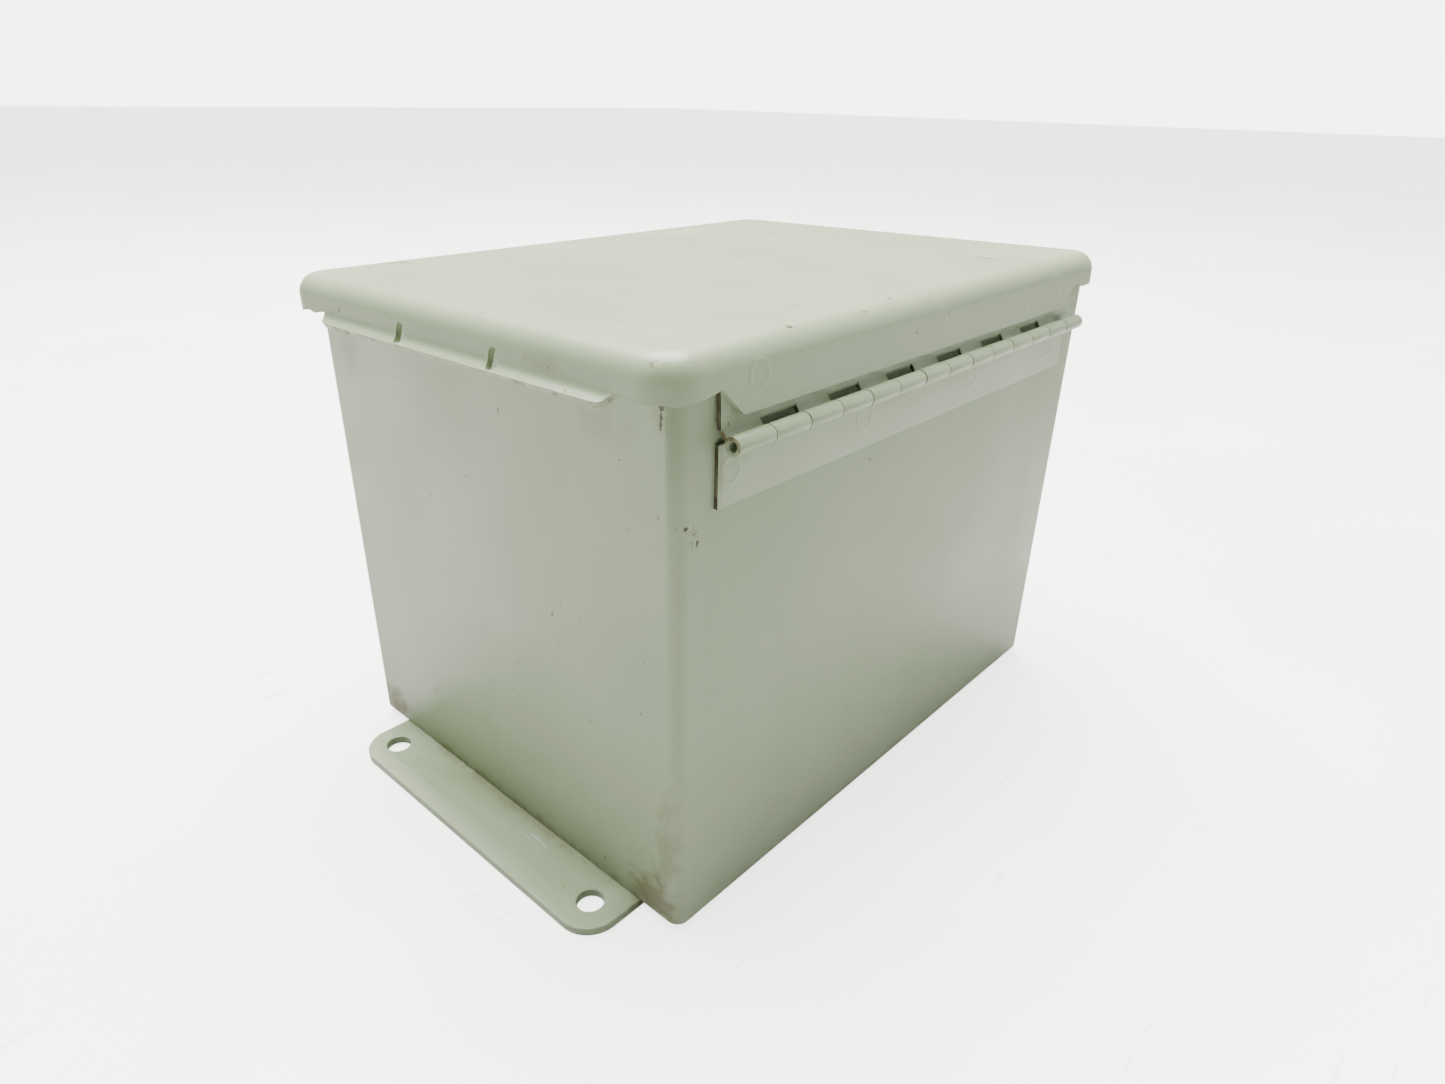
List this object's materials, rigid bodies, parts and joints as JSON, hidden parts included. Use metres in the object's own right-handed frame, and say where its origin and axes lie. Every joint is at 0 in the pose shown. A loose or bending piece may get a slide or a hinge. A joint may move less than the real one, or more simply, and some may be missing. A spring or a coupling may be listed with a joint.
{
  "type": "electrical disconnect enclosure",
  "caption": "Deep steel electrical enclosure on mounting feet, with a clamp cover on a full-length hinge and a pull-out disconnect inside.",
  "frame": {"origin": "middle of the four foot holes, on the plane of the feet's undersides", "axes": "+Z out of the cover, +X towards the hinge side, Y along the body's length"},
  "size_m": [0.1874, 0.2422, 0.1622],
  "materials": {
    "green_paint": "satin grey-green powder paint, lightly soiled",
    "white_paint": "satin white paint",
    "zinc_plate": "zinc plated steel",
    "copper": "plain copper",
    "bare_aluminium": "extruded, uncoated",
    "black_moulding": "moulded phenolic",
    "green_screw": "green passivated steel",
    "sponge": "closed cell sponge"
  },
  "bodies": {
    "box": {"body_shell": "green_paint", "near_foot": "green_paint", "far_foot": "green_paint", "body_hinge_leaf": "green_paint", "clamp_brackets": "green_paint", "collar_studs": "zinc_plate", "back_panel": "white_paint", "panel_nuts": "zinc_plate", "disconnect_base": "black_moulding", "base_screws": "zinc_plate", "line_jaws": "copper", "load_jaws": "copper", "line_lugs": "bare_aluminium", "load_lugs": "bare_aluminium", "line_lug_screws": "bare_aluminium", "load_lug_screws": "bare_aluminium", "ground_bar": "bare_aluminium", "ground_wire_screws": "green_screw", "ground_fixing_screws": "zinc_plate", "panel_bonding_stud": "zinc_plate", "panel_bonding_nut": "zinc_plate"},
    "cover": {"cover_pan": "green_paint", "cover_hinge_leaf": "green_paint", "cover_gasket": "sponge", "cover_bonding_stud": "zinc_plate", "cover_bonding_nut": "zinc_plate"},
    "pin": {"hinge_pin": "zinc_plate"},
    "pullout": {"pullout_head": "black_moulding", "pullout_blades": "copper"},
    "near_clamp": {"near_clamp_plate": "zinc_plate"},
    "far_clamp": {"far_clamp_plate": "zinc_plate"},
    "near_screw": {"near_clamp_screw": "zinc_plate"},
    "far_screw": {"far_clamp_screw": "zinc_plate"}
  },
  "joints": [
    {"name": "cover_hinge", "type": "hinge", "parent": "box", "child": "cover", "pos_m": [0.0811, 0, 0.141], "axis": [0, 1, 0], "range_deg": [0, 190]},
    {"name": "hinge_pin_pull", "type": "slide", "parent": "box", "child": "pin", "axis": [0, -1, 0], "range_m": [0, 0.175]},
    {"name": "pullout_slide", "type": "slide", "parent": "box", "child": "pullout", "axis": [0, 0, 1], "range_m": [0, 0.05]},
    {"name": "near_clamp_swing", "type": "hinge", "parent": "box", "child": "near_clamp", "pos_m": [-0.094, -0.05, 0.149], "axis": [0, 0, 1], "range_deg": [0, 90]},
    {"name": "far_clamp_swing", "type": "hinge", "parent": "box", "child": "far_clamp", "pos_m": [-0.094, 0.05, 0.149], "axis": [0, 0, 1], "range_deg": [0, 90]},
    {"name": "near_screw_turn", "type": "hinge", "parent": "box", "child": "near_screw", "pos_m": [-0.094, -0.05, 0.149], "axis": [0, 0, 1], "range_deg": [0, 1080]},
    {"name": "far_screw_turn", "type": "hinge", "parent": "box", "child": "far_screw", "pos_m": [-0.094, 0.05, 0.149], "axis": [0, 0, 1], "range_deg": [0, 1080]}
  ]
}
